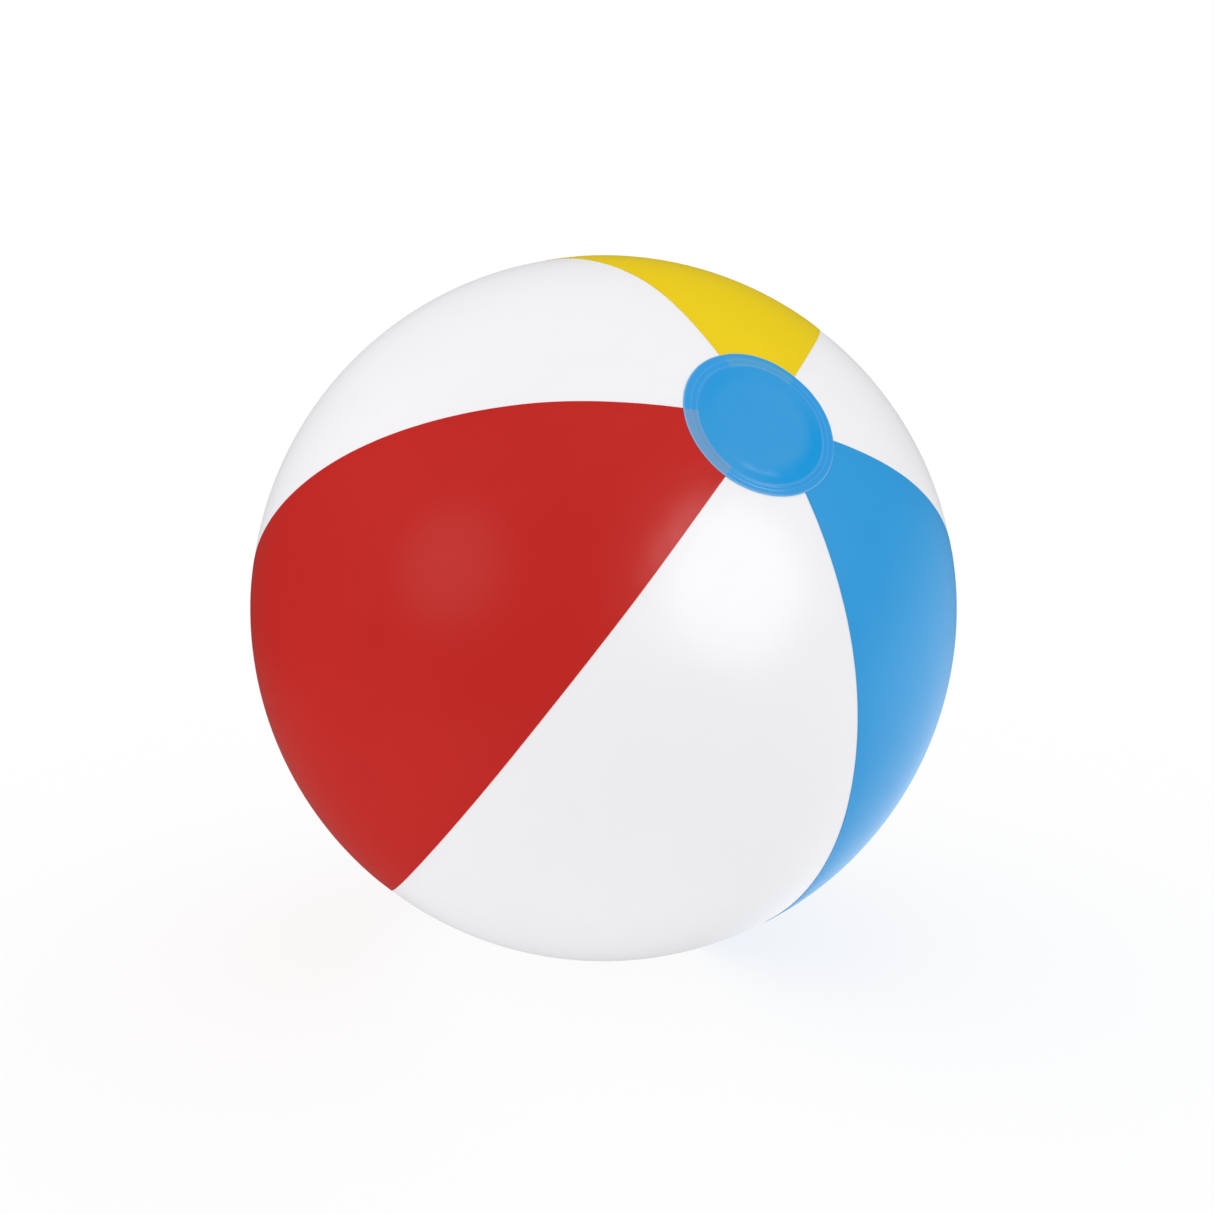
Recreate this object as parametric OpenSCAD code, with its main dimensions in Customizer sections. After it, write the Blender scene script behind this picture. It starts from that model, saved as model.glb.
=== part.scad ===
// Inflatable beach ball: six vinyl gores, two end discs and a push-in valve with a stopper.
// Millimetres, +Z up, origin at the centre of the ball. It lies on a floor under it.
// Angles round the ball are measured about the line through its two poles.

/* [Ball] */
// Diameter when blown up (a ball sold as 51 cm, measured flat from pole to pole)
ball_d = 325; // [270:1:400]
// Thickness of the vinyl film
film_t = 0.2; // [0.15:0.01:0.3]
// Width of the weld where one gore laps over the next
weld_w = 5; // [3:0.5:8]

/* [Coloured gores] */
// Where the blue gore begins, in degrees
blue_at = 336.5; // [332:0.5:340]
// Angle the blue gore covers
blue_span = 62; // [54:0.5:66]
// Where the yellow gore begins, in degrees
yellow_at = 95; // [92:0.5:100]
// Angle the yellow gore covers
yellow_span = 57.5; // [50:0.5:62]
// Where the red gore begins, in degrees
red_at = 214; // [208:0.5:220]
// Angle the red gore covers
red_span = 60; // [54:0.5:64]

/* [End discs] */
// Diameter of the disc that closes the ball at each pole
disc_d = 67; // [50:1:90]
// Thickness of the end disc
disc_t = 0.3; // [0.2:0.05:0.5]
// Width of the weld where a disc laps over the tips of the gores
disc_lap = 6; // [4:0.5:8]
// Height of the ring that the welding tool raises on the disc
ring_h = 0.3; // [0.2:0.05:0.6]

/* [How the ball lies] */
// Lean of the pole axis away from upright
pole_tilt = 52.3; // [0:0.1:90]
// Direction of that lean, from +X
pole_turn = -60.3; // [-180:0.1:180]
// Turn of the ball about its own pole axis
pole_spin = 36.3; // [0:0.1:360]

/* [Valve] */
// Angle of the valve from the first pole
valve_colat = 128; // [110:1:140]
// Diameter of the hole in the gore round the valve
valve_hole_d = 20; // [19:0.5:26]
// Diameter of the flange welded behind the gore
flange_d = 34; // [30:1:44]
// Thickness of the flange
flange_t = 0.6; // [0.4:0.1:1]
// Outside diameter of the stem
stem_d = 13; // [12:0.5:14]
// Diameter of the hole that takes the nozzle of a pump
bore_d = 8.4; // [7.5:0.1:9]
// Extra diameter of the mouth, where the plug sits
mouth_extra = 0.5; // [0.2:0.1:0.8]
// Length of the stem from rim to foot
stem_len = 11; // [9:0.5:14]
// How far the pushed-in rim sits below the surface of the ball
rim_sink = 1; // [0.5:0.1:2]
// Depth of the rolling sleeve when the stem is pushed in
sleeve_depth = 9; // [7:0.5:10]
// Length of the plug under the stopper cap
plug_len = 4; // [3:0.5:4]

/* [Hidden] */
$fn = 180;
ball_r = ball_d / 2;
// Film to film distance inside a weld
weld_gap = 0.02;
// Clearance between pieces that move past each other
clear = 0.3;
gore_r = ball_r;
white_r = ball_r - film_t - weld_gap;
white_in_r = white_r - film_t;
// Angle that a white gore reaches under its coloured neighbour
lap = weld_w / ball_r * 180 / PI;
white_right_at = blue_at + blue_span - 360 - lap;
white_right_span = yellow_at + lap - white_right_at;
white_left_at = yellow_at + yellow_span - lap;
white_left_span = red_at + lap - white_left_at;
white_bottom_at = red_at + red_span - lap;
white_bottom_span = blue_at + lap - white_bottom_at;
// End discs: the gores stop one lap inside the edge of the disc
disc_in_r = ball_r + weld_gap;
disc_half = asin(disc_d / 2 / ball_r);
tip_half = disc_half - disc_lap / ball_r * 180 / PI;
ring_r = 0.45;
// Valve, in a frame whose +Z is the valve axis, pointing out of the ball
valve_lon = (yellow_at + yellow_span + red_at) / 2;
rim_z = ball_r - rim_sink;
foot_z = rim_z - stem_len;
hole_r = valve_hole_d / 2;
flange_r = white_in_r - weld_gap;
sleeve_wall = 0.5;
sleeve_top_r = hole_r - 0.2;
sleeve_lip_r = stem_d / 2 + clear;
flange_in_r = flange_r - flange_t;
flange_eye_r = sleeve_top_r - sleeve_wall;
sleeve_top_z = sqrt(pow(flange_in_r - weld_gap, 2) - pow(sleeve_top_r, 2));
sleeve_low_z = ball_r - sleeve_depth;
bore_r = bore_d / 2;
mouth_r = bore_r + mouth_extra / 2;
mouth_depth = plug_len + 0.5;
stem_r = stem_d / 2;
cap_r = stem_r + 0.1;
cap_low_z = rim_z + clear;
cap_t = 1.1;
plug_fit = 0.05;
plug_top_r = mouth_r - plug_fit;
plug_tip_r = mouth_r - 1.25;
hinge_x = stem_r + 1.4;
hinge_z = cap_low_z + cap_t / 2;
bead_r = cap_t / 2;
strap_w = 4;
grip_reach = flange_eye_r - 0.6;
grip_w = 6;
lug_t = 1.2;
flap_r = bore_r + 1.2;
flap_t = 0.5;
flap_hinge_x = stem_r - 0.4;
flap_top_z = foot_z - clear;
// Larger than anything in the ball
far = ball_d;

// Turns a piece from the pole frame to how the ball lies
module lying() {
    rotate([0, pole_tilt, pole_turn])
        rotate([0, 0, pole_spin])
            children();
}

// Turns a piece from the valve frame to its place in the ball
module at_valve() {
    lying()
        rotate([0, valve_colat, valve_lon])
            children();
}

// Half of a thin ring between two angles from the axis, ready to be turned about it
module arc_band(inner, outer, from, to) {
    intersection() {
        difference() {
            circle(outer);
            circle(inner);
        }
        polygon([[0, 0], far * [sin(from), cos(from)],
            2 * far * [sin((from + to) / 2), cos((from + to) / 2)],
            far * [sin(to), cos(to)]]);
    }
}

// One gore: a strip of the sphere from pole opening to pole opening
module gore(outer, from, span) {
    rotate_extrude(angle = span, start = from)
        intersection() {
            difference() {
                circle(outer);
                circle(outer - film_t);
            }
            polygon([[0, 0], far * [sin(tip_half), cos(tip_half)], [far, 0],
                far * [sin(tip_half), -cos(tip_half)]]);
        }
}

module red_gore() {
    color("#c4362c") lying() gore(gore_r, red_at, red_span);
}

module yellow_gore() {
    color("#ebce2e") lying() gore(gore_r, yellow_at, yellow_span);
}

module blue_gore() {
    color("#3c9bd8") lying() gore(gore_r, blue_at, blue_span);
}

module white_gore_right() {
    color("#f2f4f6") lying() gore(white_r, white_right_at, white_right_span);
}

module white_gore_bottom() {
    color("#f2f4f6") lying() gore(white_r, white_bottom_at, white_bottom_span);
}

module white_gore_left() {
    color("#f2f4f6")
        difference() {
            lying() gore(white_r, white_left_at, white_left_span);
            at_valve()
                translate([0, 0, ball_r - 5])
                    cylinder(r = hole_r, h = 10);
        }
}

// The disc that closes one pole, with the ring that its weld leaves
module end_disc() {
    rotate_extrude() {
        arc_band(disc_in_r, disc_in_r + disc_t, 0, disc_half);
        intersection() {
            translate((disc_in_r + disc_t + ring_h - ring_r) * [sin(tip_half), cos(tip_half)])
                circle(ring_r);
            arc_band(disc_in_r + disc_t / 2, ball_r + 5, 0, disc_half);
        }
    }
}

module front_end_disc() {
    color("#3f9dd9") lying() end_disc();
}

module back_end_disc() {
    color("#3f9dd9") lying() mirror([0, 0, 1]) end_disc();
}

module valve_flange() {
    color("#e6eaee")
        at_valve()
            rotate_extrude()
                arc_band(flange_in_r, flange_r,
                    asin(flange_eye_r / ball_r), asin(flange_d / 2 / ball_r));
}

// The thin sleeve that rolls inside out as the stem is pulled out
module valve_sleeve() {
    color("#e6eaee")
        at_valve()
            rotate_extrude()
                polygon([[sleeve_top_r, sleeve_top_z],
                    [sleeve_lip_r + 2 * sleeve_wall, sleeve_low_z],
                    [sleeve_lip_r, sleeve_low_z],
                    [sleeve_lip_r, sleeve_low_z + sleeve_wall],
                    [sleeve_lip_r + sleeve_wall, sleeve_low_z + sleeve_wall],
                    [flange_eye_r, sleeve_top_z]]);
}

module valve_stem() {
    color("#eef1f4")
        at_valve()
            difference() {
                union() {
                    translate([0, 0, foot_z])
                        cylinder(r = stem_r, h = stem_len);
                    translate([stem_r - 1, -strap_w / 2, rim_z - lug_t])
                        cube([hinge_x + bead_r - stem_r + 1, strap_w, lug_t]);
                }
                translate([0, 0, foot_z - 1])
                    cylinder(r = bore_r, h = stem_len + 2);
                translate([0, 0, rim_z - mouth_depth])
                    cylinder(r = mouth_r, h = mouth_depth + 1);
            }
}

// Thin disc under the foot of the stem that air pressure holds shut
module valve_check_flap() {
    color("#dfe4e8")
        at_valve()
            translate([0, 0, flap_top_z - flap_t])
                linear_extrude(flap_t)
                    union() {
                        circle(flap_r);
                        translate([0, -strap_w / 2])
                            square([flap_hinge_x, strap_w]);
                    }
    color("#dfe4e8")
        at_valve()
            translate([flap_hinge_x, strap_w / 2, flap_top_z - flap_t / 2])
                rotate([90, 0, 0])
                    cylinder(r = flap_t / 2, h = strap_w);
}

// Cap, grip tongue, plug and the strap that hinges them to the stem
module valve_stopper() {
    color("#eef1f4")
        at_valve() {
            translate([0, 0, cap_low_z])
                linear_extrude(cap_t)
                    union() {
                        circle(cap_r);
                        translate([0, -strap_w / 2])
                            square([hinge_x, strap_w]);
                        translate([-grip_reach, -grip_w / 2])
                            square([grip_reach, grip_w]);
                    }
            translate([0, 0, rim_z - plug_len])
                cylinder(r1 = plug_tip_r, r2 = plug_top_r, h = plug_len);
            translate([0, 0, rim_z - 0.01])
                cylinder(r = plug_top_r, h = clear + 0.02);
            translate([hinge_x, strap_w / 2, hinge_z])
                rotate([90, 0, 0])
                    cylinder(r = bead_r, h = strap_w);
        }
}

red_gore();
white_gore_left();
yellow_gore();
white_gore_right();
blue_gore();
white_gore_bottom();
front_end_disc();
back_end_disc();
valve_flange();
valve_sleeve();
valve_stem();
valve_check_flap();
valve_stopper();
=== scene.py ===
import math

import bpy
import numpy as np
from mathutils import Matrix, Vector


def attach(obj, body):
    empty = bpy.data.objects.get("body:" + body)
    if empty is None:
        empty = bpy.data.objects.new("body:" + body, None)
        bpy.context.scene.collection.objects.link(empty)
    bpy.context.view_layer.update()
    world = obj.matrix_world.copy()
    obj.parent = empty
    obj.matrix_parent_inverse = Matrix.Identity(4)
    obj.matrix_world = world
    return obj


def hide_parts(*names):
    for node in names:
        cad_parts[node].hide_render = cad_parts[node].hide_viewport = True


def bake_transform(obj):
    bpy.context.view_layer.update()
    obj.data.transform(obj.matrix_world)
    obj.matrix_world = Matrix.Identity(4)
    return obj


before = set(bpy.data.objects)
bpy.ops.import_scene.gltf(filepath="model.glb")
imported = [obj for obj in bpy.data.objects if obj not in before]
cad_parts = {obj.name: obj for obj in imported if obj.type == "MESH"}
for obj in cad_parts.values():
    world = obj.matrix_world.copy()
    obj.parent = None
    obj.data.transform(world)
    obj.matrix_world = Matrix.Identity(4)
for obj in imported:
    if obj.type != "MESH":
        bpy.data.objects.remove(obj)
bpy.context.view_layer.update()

# ---------------------------------------------------------------- sizes, in metres and degrees
MM = 0.001
R = 162.5 * MM  # outside of the coloured gores
FILM = 0.2 * MM
WELD_GAP = 0.02 * MM  # film to film inside a weld
WELD = 5 * MM
WHITE_R = R - FILM - WELD_GAP  # the white gores lie one film deeper
LAP = math.degrees(WELD / R)  # how far round a white gore reaches under its neighbour

# the discs, by distance from their middle
DISC_R = 33.5 * MM
DISC_LAP = 6 * MM
DISC_T = 0.26 * MM
DISC_ARC = R * math.asin(DISC_R / R)
RING = DISC_ARC - DISC_LAP  # where the weld begins
TIP = RING / R  # where the gores end, as an angle from the pole in radians

# start and span of the coloured gores round the poles
BLUE, YELLOW, RED = (336.5, 62), (95, 57.5), (214, 60)
BLUE_END, YELLOW_END, RED_END = sum(BLUE) - 360, sum(YELLOW), sum(RED)
SEAMS = np.radians([BLUE[0], BLUE_END, YELLOW[0], YELLOW_END, RED[0], RED_END])

# how far each seam strays from its meridian, in mm, at three distances from the first pole
STRAY_AT = (13, 35, 60)
STRAY_ENDS = 95
STRAY = np.array([(1.3, 1.7, 0.9), (-0.3, 0.8, 0.4), (-0.4, -1.2, -0.6),
                  (0.5, -2.2, -1.4), (1.1, -0.2, -0.4), (0.1, 0.7, 0.5)])

# how the film leaves the true sphere
SEAM_DRAW, SEAM_PUCKER = 0.16 * MM, 0.035 * MM
DISC_DRAW, DISC_PUCKER = 0.1 * MM, 0.04 * MM

# how the ball lies
POLE_TURN, POLE_TILT, POLE_SPIN = -60.3, 52.3, 36.3

# the valve, by radius from its axis and by height from the centre of the ball
VALVE_COLAT, VALVE_LON = 128, (YELLOW_END + RED[0]) / 2
HOLE = 10 * MM
FLANGE_TOP = R - 0.46 * MM
SLEEVE_TOP_R, SLEEVE_LIP_R, SLEEVE_WALL = 9.8 * MM, 6.8 * MM, 0.45 * MM
SLEEVE_TOP, SLEEVE_LOW = R - 1.36 * MM, R - 9 * MM
RIM = R - 1 * MM
STEM_LEN = 11 * MM
FOOT = RIM - STEM_LEN
STEM_R, BORE_R, MOUTH_R = 6.5 * MM, 4.2 * MM, 4.45 * MM
CLEAR = 0.3 * MM
HINGE_X = 7.9 * MM
STRAP_HALF = 2 * MM
CAP_R, CAP_LOW = 6.6 * MM, RIM + CLEAR
PLUG_LOW = RIM - 4 * MM
FLAP_TOP = FOOT - CLEAR
ON_AXIS = 0.01 * MM  # keeps the middle of a turned face from closing to a single point


def turn(axis, degrees):
    return np.array(Matrix.Rotation(math.radians(degrees), 3, axis))


LIE = turn("Z", POLE_TURN) @ turn("Y", POLE_TILT) @ turn("Z", POLE_SPIN)
VALVE = LIE @ turn("Z", VALVE_LON) @ turn("Y", VALVE_COLAT)


# ---------------------------------------------------------------- small helpers
def smooth(x, lo, hi):
    t = np.clip((x - lo) / (hi - lo), 0, 1)
    return t * t * (3 - 2 * t)


def bell(x, at, width):
    return np.exp(-(((x - at) / width) ** 2))


def polar(colat, lon):
    """Unit vectors from angles in radians: from +Z, and round it from +X."""
    colat, lon = np.broadcast_arrays(colat, lon)
    return np.stack([np.sin(colat) * np.cos(lon), np.sin(colat) * np.sin(lon), np.cos(colat)], -1)


def angles_of(d):
    return np.arccos(np.clip(d[..., 2], -1, 1)), np.arctan2(d[..., 1], d[..., 0])


def seam_distance(d):
    """How far in metres each direction lies from its nearest seam, and which seam that is."""
    colat, lon = angles_of(d)
    off = (lon[..., None] - SEAMS + math.pi) % (2 * math.pi) - math.pi
    away = np.arcsin(np.clip(np.sin(colat)[..., None] * np.abs(np.sin(off)), 0, 1)) * R
    away = np.where(np.abs(off) < math.pi / 2, away, 1.0)
    return away.min(-1), away.argmin(-1)


def relief(d):
    """How far the film stands off the true sphere: it draws in and puckers at the seams and discs."""
    away, seam = seam_distance(d)
    colat, lon = angles_of(d)
    along = colat * R
    pole = np.minimum(colat, math.pi - colat) * R
    height = -SEAM_DRAW * bell(away, 0, 7 * MM)
    # the two waves start elsewhere on each seam
    wave = np.sin(along / (2.1 * MM) + seam * 1.7) + 0.6 * np.sin(along / (3.4 * MM) + seam * 2.9)
    height += SEAM_PUCKER * wave * bell(away, 6 * MM, 5 * MM)
    wave = np.sin(lon * 23) + 0.7 * np.sin(lon * 37 + 1.3)
    height += DISC_PUCKER * wave * bell(pole, 38 * MM, 5 * MM)
    height -= DISC_DRAW * bell(pole, DISC_ARC, 6 * MM)
    return height


def strayed(d):
    """Moves directions along their parallels, so that the seams lie as hand welding leaves them."""
    colat, lon = angles_of(d)
    stops = (*STRAY_AT, STRAY_ENDS)
    one, two, gone = (smooth(np.degrees(colat), lo, hi) for lo, hi in zip(stops, stops[1:]))
    across = np.zeros_like(lon)
    for own, stray in zip(np.eye(len(SEAMS)), STRAY):
        near = np.interp(lon, SEAMS, own, period=2 * math.pi)
        across += near * (stray[0] * (1 - one) + stray[1] * (one - two) + stray[2] * (two - gone))
    return polar(colat, lon + across * MM / (R * np.sin(colat)))


def mesh_object(name, verts, faces, material, uv=None):
    mesh = bpy.data.meshes.new(name)
    mesh.from_pydata([tuple(v) for v in verts], [], faces)
    if uv is not None:
        layer = mesh.uv_layers.new(name="UVMap")
        corners = np.array([corner for face in uv for corner in face], np.float32)
        layer.data.foreach_set("uv", corners.ravel())
    mesh.polygons.foreach_set("use_smooth", [True] * len(mesh.polygons))
    mesh.materials.append(material)
    mesh.update()
    obj = bpy.data.objects.new(name, mesh)
    bpy.context.collection.objects.link(obj)
    return obj


def add_modifier(obj, kind, **settings):
    modifier = obj.modifiers.new(kind.lower(), kind)
    for key, value in settings.items():
        setattr(modifier, key, value)


# ---------------------------------------------------------------- node materials
class Tree:
    """A short way to write shader nodes."""

    def __init__(self, tree):
        self.tree = tree

    def put(self, socket, value):
        if isinstance(value, bpy.types.NodeSocket):
            self.tree.links.new(value, socket)
        else:
            socket.default_value = value

    def math(self, operation, a, b=0.0):
        node = self.tree.nodes.new("ShaderNodeMath")
        node.operation = operation
        self.put(node.inputs[0], a)
        self.put(node.inputs[1], b)
        return node.outputs[0]

    def vector(self, operation, a, b=(0, 0, 0), output="Value"):
        node = self.tree.nodes.new("ShaderNodeVectorMath")
        node.operation = operation
        self.put(node.inputs[0], a)
        self.put(node.inputs[1], b)
        return node.outputs[output]

    def step(self, value, lo, hi, to_lo=0.0, to_hi=1.0):
        """A smooth step of a value, as it goes from lo to hi."""
        node = self.tree.nodes.new("ShaderNodeMapRange")
        node.interpolation_type = "SMOOTHSTEP"
        self.put(node.inputs["Value"], value)
        for key, number in (("From Min", lo), ("From Max", hi), ("To Min", to_lo), ("To Max", to_hi)):
            node.inputs[key].default_value = number
        return node.outputs["Result"]

    def band(self, value, lo, hi, soft):
        """1 between lo and hi and 0 outside, with soft edges."""
        inside = self.step(value, hi - soft, hi + soft, 1, 0)
        return self.math("MULTIPLY", self.step(value, lo - soft, lo + soft), inside)

    def mix(self, factor, a, b, kind="RGBA"):
        """A colour between a and b, or a number when the kind is FLOAT."""
        node = self.tree.nodes.new("ShaderNodeMix")
        node.data_type = kind
        for key, value in (("Factor", factor), ("A", a), ("B", b)):
            self.put(node.inputs[key], value)
        return node.outputs["Result"]

    def mix_shaders(self, factor, a, b):
        node = self.tree.nodes.new("ShaderNodeMixShader")
        for socket, value in zip(node.inputs, (factor, a, b)):
            self.put(socket, value)
        return node.outputs[0]


class Nodes(Tree):
    """A material and the nodes that make it."""

    def __init__(self, name):
        self.material = bpy.data.materials.new(name)
        self.material.use_nodes = True
        super().__init__(self.material.node_tree)
        self.shader = self.tree.nodes["Principled BSDF"]
        self.object = self.tree.nodes.new("ShaderNodeTexCoord").outputs["Object"]
        self.uv = self.tree.nodes.new("ShaderNodeSeparateXYZ")
        self.tree.links.new(self.tree.nodes.new("ShaderNodeUVMap").outputs[0], self.uv.inputs[0])

    def noise(self, scale, detail, rough=0.5):
        node = self.tree.nodes.new("ShaderNodeTexNoise")
        self.put(node.inputs["Vector"], self.object)
        node.inputs["Scale"].default_value = scale
        node.inputs["Detail"].default_value = detail
        node.inputs["Roughness"].default_value = rough
        return node.outputs["Fac"]

    def bump(self, height, distance, strength, under=None):
        """A bump on top of the one under it."""
        node = self.tree.nodes.new("ShaderNodeBump")
        node.inputs["Strength"].default_value = strength
        node.inputs["Distance"].default_value = distance
        self.put(node.inputs["Height"], height)
        if under is not None:
            self.put(node.inputs["Normal"], under)
        return node.outputs["Normal"]

    def finish(self, color, roughness, normal=None, **constants):
        self.put(self.shader.inputs["Base Color"], color)
        self.put(self.shader.inputs["Roughness"], roughness)
        if normal is not None:
            self.put(self.shader.inputs["Normal"], normal)
        for key, value in constants.items():
            self.shader.inputs[key.replace("_", " ")].default_value = value
        return self.material


def srgb(r, g, b):
    """A linear colour from screen values of 0 to 255."""
    screen = (v / 255 for v in (r, g, b))
    return (*(v / 12.92 if v <= 0.04045 else ((v + 0.055) / 1.055) ** 2.4 for v in screen), 1)


# film and discs carry UV maps in metres times this
UV_SCALE = 10
UV_MM = UV_SCALE * MM
WELD_DOT = 0.9 * UV_MM  # pitch of the dots that the welding tool leaves
# the soft gloss of calendered film: a coat that gains little at a glancing angle
FILM_GLOSS = {"Specular_IOR_Level": 0.02, "IOR": 1.5,
              "Coat_Weight": 0.2, "Coat_IOR": 2.0, "Coat_Roughness": 0.26}


def gore_vinyl(name, tone, pale, deep):
    """Printed film: u is the distance from the nearest seam and v the distance from the first pole."""
    n = Nodes(name)
    away = n.uv.outputs["X"]
    cloud = n.noise(9, 3, 0.55)
    color = n.mix(n.step(cloud, 0.35, 0.7), tone, pale)
    color = n.mix(n.math("MULTIPLY", n.step(n.noise(38, 4, 0.6), 0.5, 0.8), 0.35), color, deep)
    weld = n.step(away, 4.6 * UV_MM, 5.2 * UV_MM, 1, 0)
    edge = n.step(away, 0.0, 0.6 * UV_MM, 1, 0)
    color = n.mix(n.math("MULTIPLY", weld, 0.10), color, deep)
    color = n.mix(n.math("MULTIPLY", edge, 0.25), color, deep)
    scuff = n.step(n.noise(160, 5, 0.7), 0.55, 0.8)
    gloss = n.math("ADD", n.math("MULTIPLY", scuff, 0.06), n.math("MULTIPLY", cloud, 0.08))
    gloss = n.math("ADD", gloss, n.math("MULTIPLY", weld, 0.05))
    gloss = n.math("ADD", gloss, 0.32)
    u = n.math("SINE", n.math("MULTIPLY", away, 2 * math.pi / WELD_DOT))
    v = n.math("SINE", n.math("MULTIPLY", n.uv.outputs["Y"], 2 * math.pi / WELD_DOT))
    in_weld = n.band(away, 0.8 * UV_MM, 4.4 * UV_MM, 0.3 * UV_MM)
    dots = n.math("MULTIPLY", n.math("MULTIPLY", u, v), in_weld)
    normal = n.bump(n.noise(1300, 2), 0.01 * MM, 0.25)
    normal = n.bump(n.noise(70, 3), 0.12 * MM, 0.35, normal)
    normal = n.bump(dots, 0.03 * MM, 0.5, normal)
    return n.finish(color, gloss, normal, **FILM_GLOSS)


def disc_vinyl(name):
    """Translucent blue patch: u is the distance from its middle and v the turn about the pole, 0 to 1."""
    n = Nodes(name)
    out = n.uv.outputs["X"]
    angle = n.math("MULTIPLY", n.uv.outputs["Y"], 360)
    color = n.mix(n.step(n.noise(45, 3), 0.35, 0.7), srgb(50, 157, 222), srgb(56, 159, 223))
    # painted shade: a deeper colour in the hollow just inside the weld, strongest on two opposite sides,
    # stands in for the hollow catching less reflection
    turned = n.math("MULTIPLY", n.uv.outputs["Y"], 2 * math.pi)
    shade_one_side = n.math("MULTIPLY", n.math("COSINE", turned), 0.25)
    shade_two_sides = n.math("MULTIPLY", n.math("COSINE", n.math("MULTIPLY", turned, 2)), 0.3)
    side = n.step(n.math("ADD", n.math("ADD", shade_one_side, shade_two_sides), 0.36), -0.1, 0.8)
    painted_hollow_shade = n.math("MULTIPLY", n.step(out, 17 * UV_MM, 24 * UV_MM),
                    n.step(out, 27 * UV_MM, 27.6 * UV_MM, 1, 0))
    color = n.mix(n.math("MULTIPLY", painted_hollow_shade, side), color, srgb(0, 153, 224))
    # the weld lets the gores under it show; over the red gore it is also lighter, a painted highlight
    weld = n.step(out, 27.2 * UV_MM, 27.8 * UV_MM)
    red_through_and_highlight = n.math("MULTIPLY", n.band(angle, RED[0] + 3, RED_END - 0.5, 0.7), weld)
    over_yellow = n.math("MULTIPLY", n.band(angle, YELLOW[0], YELLOW_END, 0.7),
                         n.band(out, 27.5 * UV_MM, 31.8 * UV_MM, 0.8 * UV_MM))
    color = n.mix(n.math("MULTIPLY", weld, 0.6), color, srgb(46, 157, 228))
    # the red gore showing through, lightened by a painted highlight
    color = n.mix(n.math("MULTIPLY", red_through_and_highlight, 0.9), color, srgb(112, 158, 203))
    color = n.mix(n.math("MULTIPLY", over_yellow, 0.7), color, srgb(86, 164, 208))
    # painted highlight on the tops of the two ridges, and a pale cut edge
    painted_ridge_highlight = n.math("ADD", n.band(out, 27.8 * UV_MM, 28.4 * UV_MM, 0.2 * UV_MM),
                    n.band(out, 30.3 * UV_MM, 30.7 * UV_MM, 0.2 * UV_MM))
    cut_edge = n.step(out, 33.0 * UV_MM, 33.4 * UV_MM)
    color = n.mix(n.math("MULTIPLY", painted_ridge_highlight, 0.2), color, srgb(120, 190, 238))
    color = n.mix(n.math("MULTIPLY", cut_edge, 0.45), color, srgb(150, 196, 232))
    gloss = n.math("ADD", 0.3, n.math("MULTIPLY", n.noise(120, 4), 0.12))
    normal = n.bump(n.noise(1100, 2), 0.01 * MM, 0.25)
    normal = n.bump(n.noise(60, 3), 0.2 * MM, 0.35, normal)
    return n.finish(color, gloss, normal, **FILM_GLOSS)


def valve_vinyl(name, tone, pale):
    n = Nodes(name)
    color = n.mix(n.step(n.noise(220, 3), 0.35, 0.7), tone, pale)
    gloss = n.math("ADD", 0.3, n.math("MULTIPLY", n.noise(600, 4), 0.2))
    normal = n.bump(n.noise(2200, 3), 0.02 * MM, 0.4)
    return n.finish(color, gloss, normal, IOR=1.5, Subsurface_Weight=0.25, Subsurface_Scale=2 * MM)


red = gore_vinyl("red vinyl", srgb(196, 30, 22), srgb(199, 33, 25), srgb(190, 27, 20))
yellow = gore_vinyl("yellow vinyl", srgb(240, 209, 4), srgb(242, 212, 8), srgb(236, 203, 2))
blue = gore_vinyl("blue vinyl", srgb(42, 155, 221), srgb(46, 158, 223), srgb(38, 150, 217))
white = gore_vinyl("white vinyl", srgb(244, 244, 247), srgb(247, 247, 249), srgb(241, 241, 244))
disc = disc_vinyl("blue disc vinyl")
clear = valve_vinyl("valve vinyl", srgb(226, 232, 237), srgb(238, 242, 245))


# ---------------------------------------------------------------- gores
def edge_steps(width):
    """Distances across a gore at its widest, closer together at its two welds."""
    near = np.array([0, 0.25, 0.6, 1.2, 2, 3, 4, 4.8, 5.2, 5.8, 7, 9, 11.5, 14.5]) * MM
    middle = np.linspace(near[-1], width - near[-1], 30)[1:-1]
    return np.concatenate([near, middle, (width - near)[::-1]])


def film_point(d, radius):
    return ((radius + relief(d))[..., None] * strayed(d)) @ LIE.T


def valve_ring(arc, angle):
    """Directions in the pole frame, at an arc length from the valve axis."""
    return polar(arc / R, angle) @ (LIE.T @ VALVE).T


def valve_relief(arc):
    """The flange behind the gore shows as a low step with a weld line at each edge."""
    step = 0.12 * smooth(arc, 17.6 * MM, 16.4 * MM) + 0.08 * bell(arc, 13.8 * MM, 1.2 * MM)
    welds = 0.10 * bell(arc, 16.2 * MM, 0.5 * MM) + 0.10 * bell(arc, 11.4 * MM, 0.5 * MM)
    edge = 0.1 * (arc < HOLE + 0.05 * MM)
    return (step - welds - edge) * MM


def valve_window(lons, colats):
    """First and last grid lines of the opening that rings round the valve fill."""
    half = 25 * MM / R
    colat, lon = math.radians(VALVE_COLAT), math.radians(VALVE_LON)
    wide = half / math.sin(colat)
    across = (int(np.searchsorted(lons, lon + side)) for side in (-wide, wide))
    along = (int(np.searchsorted(colats, colat + side)) for side in (-half, half))
    return (*across, *along)


def window_loop(number, i0, i1, j0, j1):
    """Numbers of the grid points round an opening, in order."""
    there = [number[i, j0] for i in range(i0, i1)] + [number[i1, j] for j in range(j0, j1)]
    back = [number[i, j1] for i in range(i1, i0, -1)] + [number[i0, j] for j in range(j1, j0, -1)]
    return there + back


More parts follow.
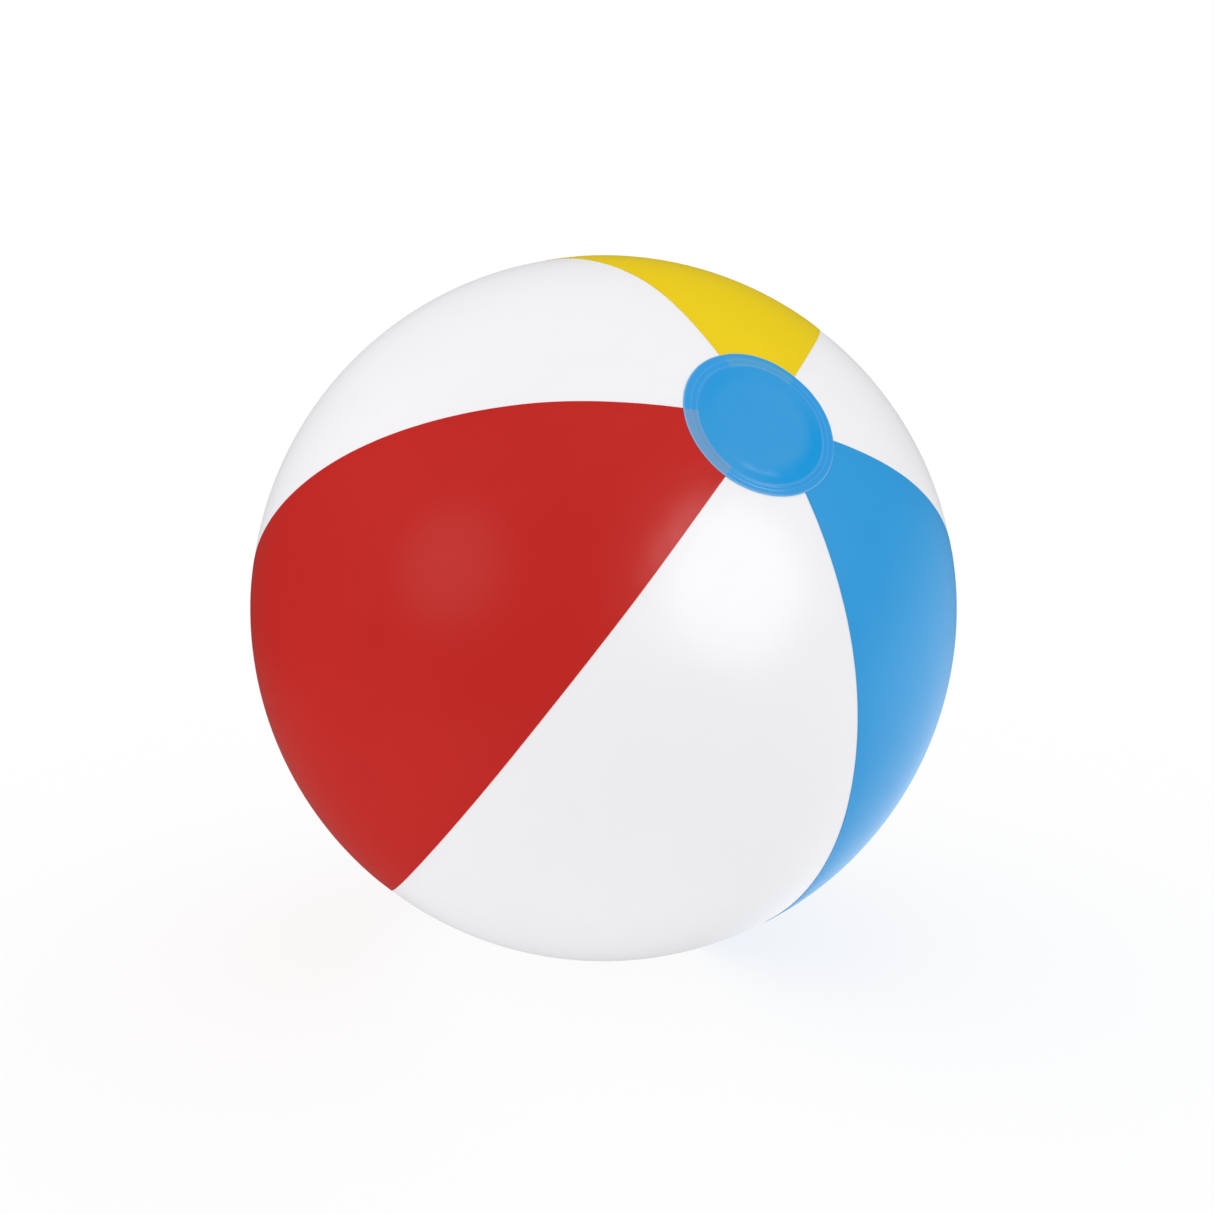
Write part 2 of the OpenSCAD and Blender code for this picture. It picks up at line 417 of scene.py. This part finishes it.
def fill_window(verts, dirs, loop, radius):
    """Adds rings of film from the hole round the valve out to a loop of grid points."""
    arcs = np.array([10, 10.1, 10.4, 10.9, 11.2, 11.4, 11.6, 12, 12.6, 13.2, 13.8, 14.4, 15, 15.6, 15.9,
                     16.2, 16.5, 16.9, 17.3, 17.8, 18.5, 20]) * MM
    local = dirs[loop] @ (LIE.T @ VALVE)
    reach, angle = angles_of(local)
    count = len(angle)
    rings = []
    for arc in arcs:
        ring = valve_ring(arc, angle)
        rings.append(len(verts) + np.arange(count))
        verts = np.concatenate([verts, ((radius + relief(ring) + valve_relief(arc))[:, None] * ring) @ LIE.T])
        dirs = np.concatenate([dirs, ring])
    ring = valve_ring((arcs[-1] + reach * R) / 2, angle)
    rings.append(len(verts) + np.arange(count))
    verts = np.concatenate([verts, film_point(ring, radius)])
    dirs = np.concatenate([dirs, ring])
    rings.append(loop)
    faces = []
    for a, b in zip(rings[:-1], rings[1:]):
        for k in range(count):
            m = (k + 1) % count
            faces.append((a[k], a[m], b[m], b[k]))
    return verts, dirs, faces


def make_gore(node, start, span, radius, material, slot, with_valve=False):
    lons = math.radians(start) + edge_steps(math.radians(span) * R) / R
    colats = np.linspace(TIP, math.pi - TIP, 150)
    grid = polar(colats[None, :], lons[:, None])
    number = np.arange(len(lons) * len(colats)).reshape(len(lons), len(colats))
    verts = film_point(grid, radius).reshape(-1, 3)
    dirs = grid.reshape(-1, 3)
    i0, i1, j0, j1 = valve_window(lons, colats) if with_valve else (0, 0, 0, 0)
    faces = []
    for i in range(len(lons) - 1):
        for j in range(len(colats) - 1):
            if not (i0 <= i < i1 and j0 <= j < j1):
                faces.append((number[i, j], number[i, j + 1], number[i + 1, j + 1], number[i + 1, j]))
    if with_valve:
        verts, dirs, more = fill_window(verts, dirs, window_loop(number, i0, i1, j0, j1), radius)
        faces += more
    faces = [tuple(int(v) for v in f) for f in faces]
    coords = np.stack([seam_distance(dirs)[0], angles_of(dirs)[0] * R], -1) * UV_SCALE
    uv = [[coords[v] for v in f] for f in faces]
    obj = mesh_object(node + "_film", verts, faces, material, uv)
    add_modifier(obj, "SOLIDIFY", thickness=FILM, offset=-1)
    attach(obj, "ball")
    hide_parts(node)


make_gore("red_gore", *RED, R, red, "red_vinyl")
make_gore("yellow_gore", *YELLOW, R, yellow, "yellow_vinyl")
make_gore("blue_gore", *BLUE, R, blue, "blue_vinyl")
for node, start, end, with_valve in (("white_gore_right", BLUE_END, YELLOW[0], False),
                                     ("white_gore_left", YELLOW_END, RED[0], True),
                                     ("white_gore_bottom", RED_END, BLUE[0], False)):
    make_gore(node, start - LAP, end - start + 2 * LAP, WHITE_R, white, "white_vinyl", with_valve)


# ---------------------------------------------------------------- end discs
def disc_height(s):
    """Height of the disc's skin over the coloured gores, by distance from its middle."""
    height = 0.32 + 0.4 * np.clip(1 - (s / (24 * MM)) ** 2, 0, 1)  # dome
    height -= 0.24 * bell(s, RING - 2.6 * MM, 2.2 * MM)  # hollow
    height += 0.28 * bell(s, RING + 0.5 * MM, 0.45 * MM)  # inner ridge
    height -= 0.10 * bell(s, RING + 1.7 * MM, 0.5 * MM)
    height += 0.18 * bell(s, RING + 2.9 * MM, 0.42 * MM)  # outer ridge
    height -= 0.28 * smooth(s, DISC_ARC - 0.5 * MM, DISC_ARC)  # cut edge
    return height * MM


def disc_places(s, angle, edge_off, ring_off):
    """Directions of points of a disc, whose edge and weld each sit up to about 1 mm off the pole."""
    share = smooth(s, RING, DISC_ARC)
    x, y = (s * part + (ring + (edge - ring) * share) * MM
            for part, ring, edge in zip((np.cos(angle), np.sin(angle)), ring_off, edge_off))
    return polar(np.hypot(x, y) / R, np.arctan2(y, x))


def make_disc(node, sign, edge_off, ring_off):
    """The disc on the first pole, or on the other when the sign is -1."""
    arcs = np.concatenate([np.linspace(0.6 * MM, 23 * MM, 20),
                           np.linspace(23.6 * MM, RING - 0.4 * MM, 14),
                           np.linspace(RING - 0.1 * MM, DISC_ARC - 0.6 * MM, 32),
                           DISC_ARC + np.array([-0.45, -0.3, -0.15, -0.05, 0]) * MM])
    count = 192
    angle = np.arange(count) * 2 * math.pi / count
    middle = disc_places(0.0, 0.0, edge_off, ring_off) * (R + disc_height(0.0))
    verts = [LIE @ (middle * (1, 1, sign))]
    turns = [0.0]
    for s in arcs:
        d = disc_places(s, angle, edge_off, ring_off)
        ripple = 0.05 * MM * np.sin(angle * 17 + 0.7) * bell(s, RING - 3 * MM, 2.5 * MM)
        height = disc_height(s) + ripple + relief(d) * smooth(s, RING - 2 * MM, RING)
        verts.extend((d * (R + height)[:, None] * (1, 1, sign)) @ LIE.T)
        # the turn about the pole, kept within half a turn of the disc's own angle
        lon = angles_of(d)[1]
        turns.extend((angle + (lon - angle + math.pi) % (2 * math.pi) - math.pi) / (2 * math.pi))
    faces, uv = [], []
    for r in range(len(arcs) - 1):
        a, b = 1 + r * count, 1 + (r + 1) * count
        u0, u1 = arcs[r] * UV_SCALE, arcs[r + 1] * UV_SCALE
        for k in range(count):
            m = (k + 1) % count
            wrap = 1 if m == 0 else 0
            faces.append((a + k, b + k, b + m, a + m))
            uv.append([(u0, turns[a + k]), (u1, turns[b + k]),
                       (u1, turns[b + m] + wrap), (u0, turns[a + m] + wrap)])
    u0 = arcs[0] * UV_SCALE
    for k in range(count):
        faces.append((0, 1 + k, 1 + (k + 1) % count))
        uv.append([(0, k / count), (u0, k / count), (u0, (k + 1) / count)])
    if sign < 0:
        faces = [f[::-1] for f in faces]
        uv = [u[::-1] for u in uv]
    obj = mesh_object(node + "_patch", verts, faces, disc, uv)
    add_modifier(obj, "SOLIDIFY", thickness=DISC_T, offset=-1)
    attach(obj, "ball")
    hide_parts(node)


make_disc("front_end_disc", 1, (-0.9, 0.5), (-0.4, -0.7))
make_disc("back_end_disc", -1, (0.5, 0.4), (0.1, -0.3))


# ---------------------------------------------------------------- valve, in a frame along its own axis
def lathe(profile, count=96):
    """Turns a closed profile of (radius, height) about the valve axis."""
    angle = np.arange(count) * 2 * math.pi / count
    verts = [(r * math.cos(a), r * math.sin(a), z) for r, z in profile for a in angle]
    rows = len(profile)
    faces = []
    for i in range(rows):
        for k in range(count):
            a, b, m = i * count, (i + 1) % rows * count, (k + 1) % count
            faces.append((a + k, a + m, b + m, b + k))
    return verts, faces


def block(x0, x1, half, z0, z1):
    verts = [(x, y, z) for x in (x0, x1) for y in (-half, half) for z in (z0, z1)]
    faces = [(0, 1, 3, 2), (4, 6, 7, 5), (0, 4, 5, 1), (2, 3, 7, 6), (0, 2, 6, 4), (1, 5, 7, 3)]
    return verts, faces


def join(*shapes):
    verts, faces = [], []
    for v, f in shapes:
        faces += [tuple(k + len(verts) for k in face) for face in f]
        verts += list(v)
    return verts, faces


def valve_object(name, shape):
    verts, faces = shape
    return mesh_object(name, np.asarray(verts, float) @ VALVE.T, faces, clear)


def valve_piece(name, shape, body, node, bevel):
    """A piece that keeps its shape."""
    obj = valve_object(name, shape)
    if bevel:
        add_modifier(obj, "BEVEL", width=bevel, segments=3, limit_method="ANGLE", angle_limit=0.6)
    add_modifier(obj, "WEIGHTED_NORMAL", keep_sharp=True)
    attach(obj, body)
    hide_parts(node)


def flange_profile():
    arcs = np.array([9.35, 9.6, 10.5, 12, 13.5, 15, 16.4, 16.9, 17]) * MM
    thick = np.array([0.25, 0.55, 0.6, 0.6, 0.55, 0.5, 0.4, 0.25, 0.1]) * MM
    top, low = ([(math.sin(arc / R) * radius, math.cos(arc / R) * radius) for arc, radius in zip(arcs, radii)]
                for radii in (np.full(len(arcs), FLANGE_TOP), FLANGE_TOP - thick))
    return top + low[::-1]


def sleeve_profile():
    """A thin wall that curls down from the flange and turns in to the stem."""
    outer, inner = [], []
    for t in np.linspace(0, 1, 22):
        radius = SLEEVE_TOP_R + (SLEEVE_LIP_R + 0.5 * MM - SLEEVE_TOP_R) * smooth(t, -0.15, 1.1)
        height = SLEEVE_TOP + (SLEEVE_LOW - SLEEVE_TOP) * t
        outer.append((radius, height))
        inner.append((radius - SLEEVE_WALL, height + 0.1 * MM * t))
    outer.append((SLEEVE_LIP_R + 0.1 * MM, SLEEVE_LOW))
    inner.append((SLEEVE_LIP_R + 0.02 * MM, SLEEVE_LOW + SLEEVE_WALL))
    return outer + inner[::-1]


def stem_shape():
    """A tube with a groove under its rim, a wider mouth for the plug and a lug for the strap."""
    groove = STEM_R - 0.12 * MM
    profile = [(BORE_R, FOOT), (STEM_R - 0.5 * MM, FOOT), (STEM_R - 0.1 * MM, FOOT + 0.4 * MM),
               (STEM_R, FOOT + 1 * MM), (STEM_R, RIM - 3.4 * MM), (groove, RIM - 3.1 * MM),
               (groove, RIM - 2.6 * MM), (STEM_R, RIM - 2.3 * MM), (STEM_R, RIM - 0.5 * MM),
               (STEM_R - 0.15 * MM, RIM - 0.15 * MM), (STEM_R - 0.5 * MM, RIM),
               (MOUTH_R + 0.4 * MM, RIM), (MOUTH_R, RIM - 0.3 * MM), (MOUTH_R, RIM - 4.3 * MM),
               (BORE_R, RIM - 4.6 * MM)]
    lug = block(STEM_R - 0.8 * MM, HINGE_X + 0.5 * MM, STRAP_HALF, RIM - 1.2 * MM, RIM - 0.02 * MM)
    return join(lathe(profile), lug)


def stopper_shape():
    """A dished cap over a tapered plug, with a tab for the strap and a ribbed tongue to grip."""
    low = CAP_LOW
    profile = [(ON_AXIS, low + 0.75 * MM), (2.6 * MM, low + 0.75 * MM), (3 * MM, low + 0.95 * MM),
               (3.6 * MM, low + 1.08 * MM), (5.6 * MM, low + 1.1 * MM), (6.3 * MM, low + 1 * MM),
               (CAP_R, low + 0.65 * MM), (CAP_R, low + 0.3 * MM), (6.3 * MM, low + 0.02 * MM),
               (4.6 * MM, low), (4.38 * MM, low - 0.2 * MM), (4.36 * MM, RIM - 0.6 * MM),
               (3.9 * MM, RIM - 2.2 * MM), (3.3 * MM, PLUG_LOW + 0.5 * MM), (2.9 * MM, PLUG_LOW),
               (ON_AXIS, PLUG_LOW)]
    tab = block(5.6 * MM, HINGE_X + 0.1 * MM, STRAP_HALF, low + 0.1 * MM, low + 1 * MM)
    tongue = block(-8.6 * MM, -5.4 * MM, 3 * MM, low + 0.15 * MM, low + 0.9 * MM)
    ribs = [block(x * MM, (x + 0.45) * MM, 2.4 * MM, low + 0.8 * MM, low + 1.1 * MM)
            for x in (-8.2, -7.4, -6.6)]
    return join(lathe(profile), tab, tongue, *ribs)


def strap_shape():
    """The thin strap that bends: a waisted web from the lug up to the cap's tab."""
    verts, faces = [], []
    rows = 14
    for i in range(rows):
        t = i / (rows - 1)
        z = RIM - 0.3 * MM + t * 1.5 * MM
        thick = (0.28 + 0.5 * (2 * t - 1) ** 2) * MM
        verts += [(HINGE_X + side * thick / 2 - 0.05 * MM, end * 1.9 * MM, z)
                  for side, end in ((-1, -1), (1, -1), (1, 1), (-1, 1))]
        if i:
            a, b = (i - 1) * 4, i * 4
            faces += [(a + k, a + (k + 1) % 4, b + (k + 1) % 4, b + k) for k in range(4)]
    last = (rows - 1) * 4
    faces += [(3, 2, 1, 0), (last, last + 1, last + 2, last + 3)]
    return verts, faces


def flap_shape():
    """A thin dished disc with a tab at its hinge."""
    profile = [(ON_AXIS, FLAP_TOP - 0.35 * MM), (3 * MM, FLAP_TOP - 0.3 * MM),
               (4.6 * MM, FLAP_TOP - 0.05 * MM), (5.3 * MM, FLAP_TOP - 0.02 * MM),
               (5.4 * MM, FLAP_TOP - 0.25 * MM), (5.2 * MM, FLAP_TOP - 0.46 * MM),
               (3 * MM, FLAP_TOP - 0.55 * MM), (ON_AXIS, FLAP_TOP - 0.6 * MM)]
    tab = block(4 * MM, 6.2 * MM, STRAP_HALF, FLAP_TOP - 0.42 * MM, FLAP_TOP - 0.08 * MM)
    return join(lathe(profile, 64), tab)


valve_piece("valve_flange_ring", lathe(flange_profile()), "ball", "valve_flange", 0)

sleeve = valve_object("valve_sleeve_skin", lathe(sleeve_profile()))
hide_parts("valve_sleeve")
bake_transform(sleeve)

valve_piece("valve_stem_tube", stem_shape(), "stem", "valve_stem", 0.1 * MM)
valve_piece("valve_stopper_cap", stopper_shape(), "stopper", "valve_stopper", 0.1 * MM)

strap = valve_object("valve_strap", strap_shape())
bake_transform(strap)

valve_piece("valve_flap_disc", flap_shape(), "check_flap", "valve_check_flap", 0.05 * MM)


# ---------------------------------------------------------------- floor, light and camera
CAMERA_LIFT = math.radians(12)
CAMERA_AWAY = 5 * R
SIDE = Vector((1, 0, 0))
UP = Vector((0, math.sin(CAMERA_LIFT), math.cos(CAMERA_LIFT)))
BACK = Vector((0, -math.cos(CAMERA_LIFT), math.sin(CAMERA_LIFT)))  # from the ball to the camera

FILL = 1.065  # light on matt surfaces from all round the ball
FILL_RING = 0.42  # how much less of it comes from straight in front and behind
FILL_TILT = -0.055 * SIDE + 0.065 * UP + 0.18 * BACK  # and how much more of it comes from the front
GLOSS_DARK, GLOSS_BRIGHT = 0.1, 2.0  # what gloss mirrors on the studio's darker and brighter side
BRIGHT_SIDE = 0.68 * SIDE - 0.55 * UP - 0.48 * BACK

FLOOR_HALF = 2
FLOOR_Z = -R - 0.2 * MM
FLOOR_GLOW = 0.82  # share of the floor's look that is the surround itself, which keeps shadows faint
FLOOR_FADE = (0.25, 0.8)  # where the floor begins to give way, and where it has


def surround(tree, direction, shader):
    """The white studio as seen from the ball: even to the eye, softer as a lamp and in reflections."""
    n = Tree(tree)
    front = n.vector("DOT_PRODUCT", direction, BACK)
    ring = n.math("MULTIPLY", n.math("MULTIPLY", front, front), -FILL_RING)
    fill = n.math("ADD", n.math("ADD", n.vector("DOT_PRODUCT", direction, FILL_TILT), ring), FILL)
    bright = n.vector("DOT_PRODUCT", direction, BRIGHT_SIDE)
    gloss = n.step(bright, 0.6, 1.0, GLOSS_DARK, GLOSS_BRIGHT)
    path = tree.nodes.new("ShaderNodeLightPath")
    strength = n.mix(path.outputs["Is Diffuse Ray"], 1.0, fill, "FLOAT")
    strength = n.mix(path.outputs["Is Glossy Ray"], strength, gloss, "FLOAT")
    shader.inputs["Color"].default_value = (1, 1, 1, 1)
    tree.links.new(strength, shader.inputs["Strength"])


def floor_material():
    """Pale floor that takes a faint shadow near the ball and gives way to the white surround further out."""
    n = Nodes("studio floor")
    n.finish(srgb(250, 250, 250), 0.9, Specular_IOR_Level=0.0)
    glow = n.tree.nodes.new("ShaderNodeEmission")
    surround(n.tree, n.vector("NORMALIZE", n.object, output="Vector"), glow)
    nothing = n.tree.nodes.new("ShaderNodeBsdfTransparent")
    lit = n.mix_shaders(FLOOR_GLOW, n.shader.outputs[0], glow.outputs[0])
    far = n.step(n.vector("LENGTH", n.object), *FLOOR_FADE)
    faded = n.mix_shaders(far, lit, nothing.outputs[0])
    n.put(n.tree.nodes["Material Output"].inputs["Surface"], faded)
    n.material.cycles.emission_sampling = "NONE"
    return n.material


floor = mesh_object("studio_floor", [(x * FLOOR_HALF, y * FLOOR_HALF, FLOOR_Z)
                                     for x, y in ((-1, -1), (1, -1), (1, 1), (-1, 1))],
                    [(0, 1, 2, 3)], floor_material())

world = bpy.data.worlds.new("studio")
bpy.context.scene.world = world
world.use_nodes = True
world.cycles.sampling_method = "NONE"
around = world.node_tree.nodes.new("ShaderNodeTexCoord")
surround(world.node_tree, around.outputs["Generated"], world.node_tree.nodes["Background"])


def softbox(name, toward, distance, size, power):
    """A round lamp that only gloss sees."""
    light = bpy.data.lights.new(name, "AREA")
    light.shape = "DISK"
    light.size = size
    light.energy = power
    obj = bpy.data.objects.new(name, light)
    bpy.context.collection.objects.link(obj)
    away = toward.normalized()
    obj.location = away * distance
    obj.rotation_euler = (-away).to_track_quat("-Z", "Y").to_euler()
    obj.visible_diffuse = False


softbox("right softbox", 0.62 * SIDE + 0.13 * UP + 0.77 * BACK, 1.6, 1.3, 18)
softbox("left softbox", -0.70 * SIDE + 0.2 * UP + 0.68 * BACK, 1.6, 0.88, 1.4)

camera = bpy.data.objects.new("camera", bpy.data.cameras.new("camera"))
bpy.context.collection.objects.link(camera)
camera.location = BACK * CAMERA_AWAY
camera.rotation_euler = (-BACK).to_track_quat("-Z", "Y").to_euler()
camera.data.sensor_width = 36
camera.data.lens = 51.33
camera.data.shift_x = 0.0029
camera.data.shift_y = 0.0012
camera.data.clip_start = 0.05
camera.data.clip_end = 100
bpy.context.scene.camera = camera
bpy.context.scene.view_settings.view_transform = "Standard"

bpy.context.view_layer.update()
